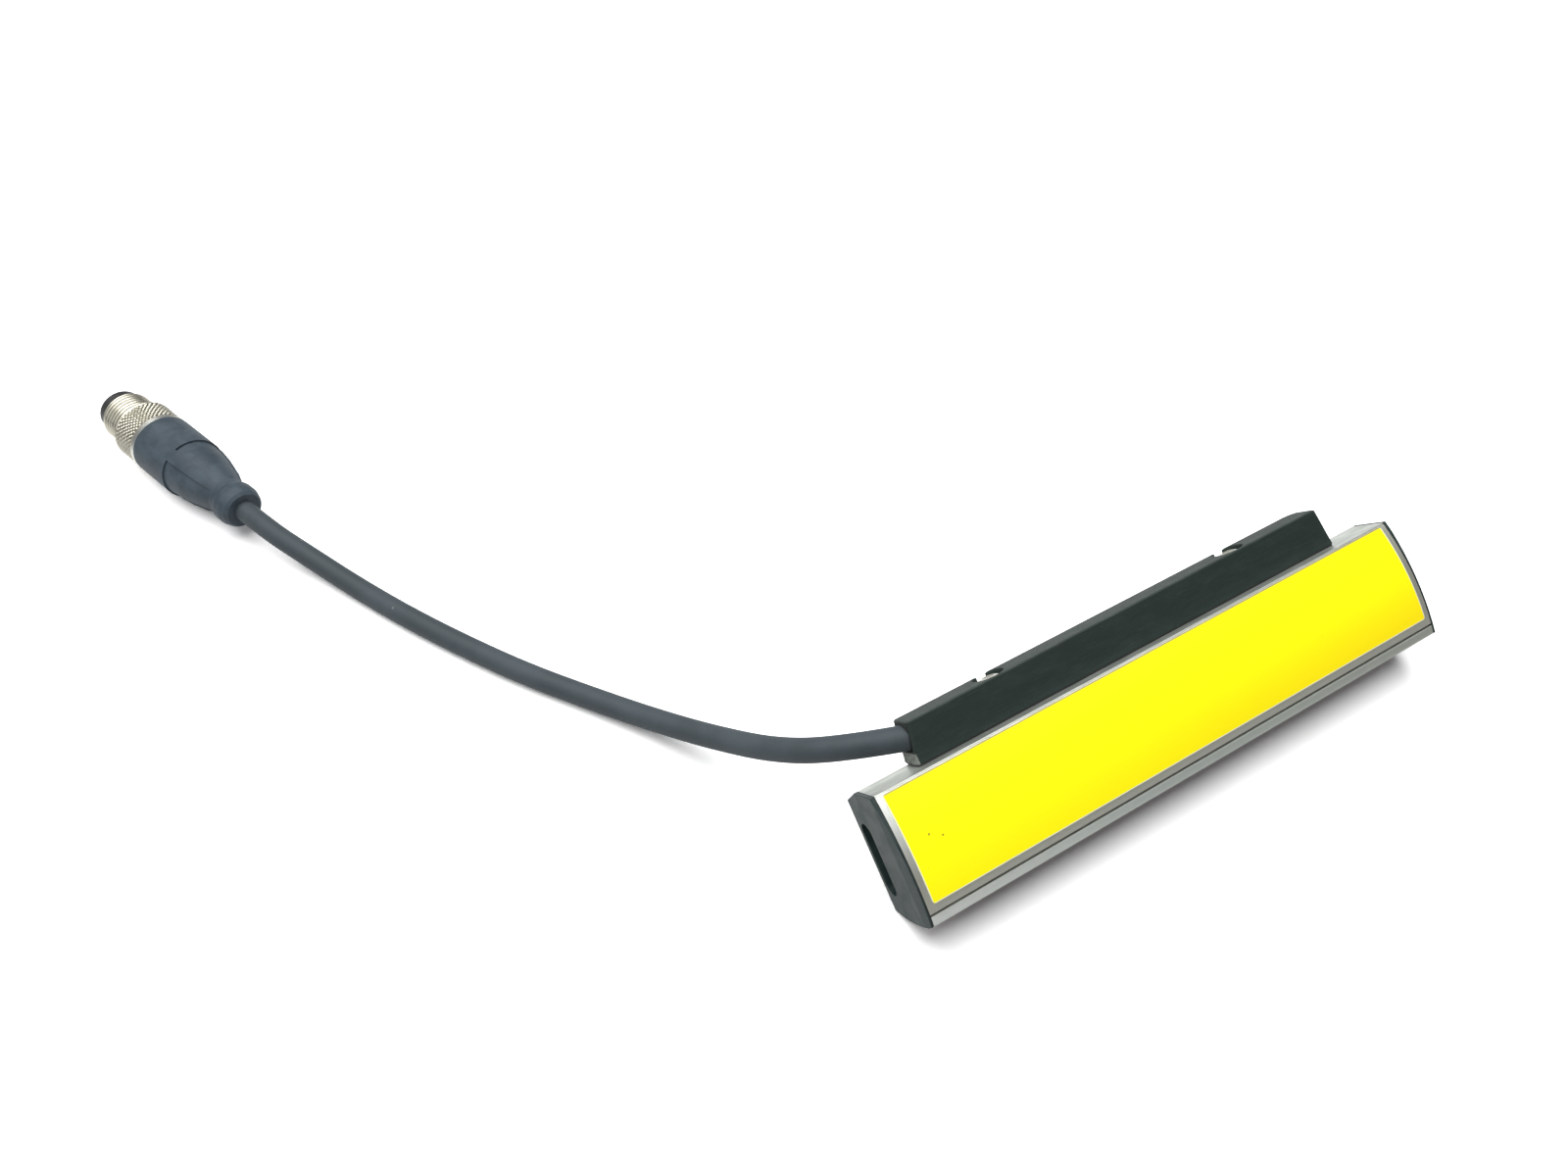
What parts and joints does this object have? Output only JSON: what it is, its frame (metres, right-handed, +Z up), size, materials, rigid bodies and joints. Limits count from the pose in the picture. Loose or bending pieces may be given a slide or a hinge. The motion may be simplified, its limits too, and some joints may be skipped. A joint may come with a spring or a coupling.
{
  "type": "safety light curtain",
  "caption": "Short slim light-curtain stick with a yellow crowned face, end caps and a screwed side block whose cable runs to a round threaded plug; senses objects crossing its beams",
  "frame": {"origin": "on the floor under the middle of the leaning stick, which rests on the lower back edge of its extrusion; the cable and plug trail over the floor beside it", "axes": "+X along the stick away from the cable's end, +Y away from the window side towards the connection block, +Z up"},
  "size_m": [0.2184, 0.2094, 0.0283],
  "materials": {
    "extrusion": "satin anodised extrusion, silver grey",
    "screen": "dark red-black infrared-pass acrylic, glossy",
    "film": "bright yellow polyester film, semi-gloss",
    "caps": "grey-black glass-filled nylon, fine grain",
    "seals": "black rubber",
    "lens": "clear moulded lens plastic, dark tinted",
    "tunnels": "matt black moulding",
    "board": "green solder resist on glass-fibre laminate",
    "emitter": "clear epoxy package",
    "receiver": "black daylight-filter epoxy package",
    "chips": "black epoxy package",
    "sockets": "black moulded contact housing",
    "block": "grey-black moulded plastic",
    "screws": "bright zinc-plated steel",
    "contacts": "gold-plated brass",
    "potting": "light grey sealing compound, rough",
    "cores": "insulated copper cores",
    "cable": "dark grey polyurethane jacket, satin",
    "grip": "bluish dark grey polyurethane overmould, satin",
    "coupling": "nickel-plated brass",
    "carrier": "black nylon"
  },
  "bodies": {
    "stick": {"housing": "extrusion", "front_screen": "screen", "label": "film", "end_cap_near": "caps", "end_cap_far": "caps", "end_seal_near": "seals", "end_seal_far": "seals", "lens_strip": "lens", "tunnel_bar": "tunnels", "optics_board": "board", "infrared_emitters": "emitter", "photodiodes": "receiver", "board_chips": "chips", "board_socket": "sockets", "connection_block": "block", "block_seal": "seals", "block_screws": "screws", "link_pins": "contacts", "pin_header": "sockets", "potting": "potting", "cable_cores": "cores", "cable": "cable", "plug_grip": "grip", "contact_carrier": "carrier", "contact_pins": "contacts"},
    "coupling": {"coupling_sleeve": "coupling"}
  },
  "joints": [
    {"name": "coupling_turn", "type": "hinge", "parent": "stick", "child": "coupling", "pos_m": [-0.1473, 0.1747, 0.00735], "axis": [-0.342, 0.9397, 0], "continuous": true}
  ]
}
